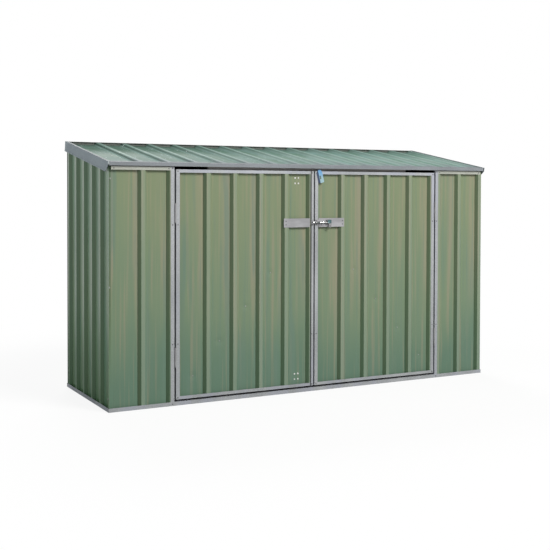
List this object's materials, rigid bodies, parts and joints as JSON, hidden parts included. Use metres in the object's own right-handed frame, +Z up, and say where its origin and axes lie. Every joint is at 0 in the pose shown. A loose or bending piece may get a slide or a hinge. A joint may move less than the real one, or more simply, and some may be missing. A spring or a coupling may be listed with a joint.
{
  "type": "bike shed",
  "caption": "Low lean-to bike shed of ribbed painted steel sheet in a zinc channel frame, with hinged double doors and a sliding bolt.",
  "frame": {"origin": "middle of the base's footprint, at ground level", "axes": "+X along the front to the right seen from the front, +Y from the doors to the back wall, +Z up"},
  "size_m": [2.2768, 0.8062, 1.3562],
  "materials": {
    "painted_sheet": "satin baked paint on ribbed steel sheet",
    "zinc_channel": "dull zinc-aluminium coat with a fine spangle",
    "galvanised_hardware": "zinc plated",
    "tag_plastic": "smooth light blue plastic"
  },
  "bodies": {
    "shed": {"left_wall": "painted_sheet", "right_wall": "painted_sheet", "back_sheet_left": "painted_sheet", "back_sheet_middle": "painted_sheet", "back_sheet_right": "painted_sheet", "front_panel_left": "painted_sheet", "front_panel_right": "painted_sheet", "roof_sheet_left": "painted_sheet", "roof_sheet_middle": "painted_sheet", "roof_sheet_right": "painted_sheet", "base_front": "zinc_channel", "door_sill": "zinc_channel", "base_left": "zinc_channel", "base_right": "zinc_channel", "base_back": "zinc_channel", "door_post_left": "zinc_channel", "door_post_right": "zinc_channel", "front_rails": "zinc_channel", "side_rail_left": "zinc_channel", "side_rail_right": "zinc_channel", "back_rail": "zinc_channel", "header": "zinc_channel", "eave_channel": "zinc_channel", "rear_channel": "zinc_channel", "barge_left": "zinc_channel", "barge_right": "zinc_channel", "post_hinges": "galvanised_hardware"},
    "left_door": {"left_door_sheet": "painted_sheet", "left_hinge_stile": "zinc_channel", "left_meeting_stile": "zinc_channel", "left_door_rails": "zinc_channel", "left_door_brace": "zinc_channel", "left_door_hinges": "galvanised_hardware", "drop_bolts": "galvanised_hardware", "keeper_plate": "galvanised_hardware"},
    "right_door": {"right_door_sheet": "painted_sheet", "right_hinge_stile": "zinc_channel", "right_meeting_stile": "zinc_channel", "right_door_rails": "zinc_channel", "right_door_brace": "zinc_channel", "right_door_hinges": "galvanised_hardware", "latch_plate": "galvanised_hardware", "hang_tag": "tag_plastic"},
    "pad_bolt": {"pad_bolt": "galvanised_hardware"}
  },
  "joints": [
    {"name": "left_door_swing", "type": "hinge", "parent": "shed", "child": "left_door", "pos_m": [-0.7895, -0.394, 0], "axis": [0, 0, -1], "range_deg": [0, 120]},
    {"name": "right_door_swing", "type": "hinge", "parent": "shed", "child": "right_door", "pos_m": [0.7895, -0.394, 0], "axis": [0, 0, 1], "range_deg": [0, 120]},
    {"name": "pad_bolt_slide", "type": "slide", "parent": "right_door", "child": "pad_bolt", "axis": [-1, 0, 0], "range_m": [0, 0.02]}
  ]
}
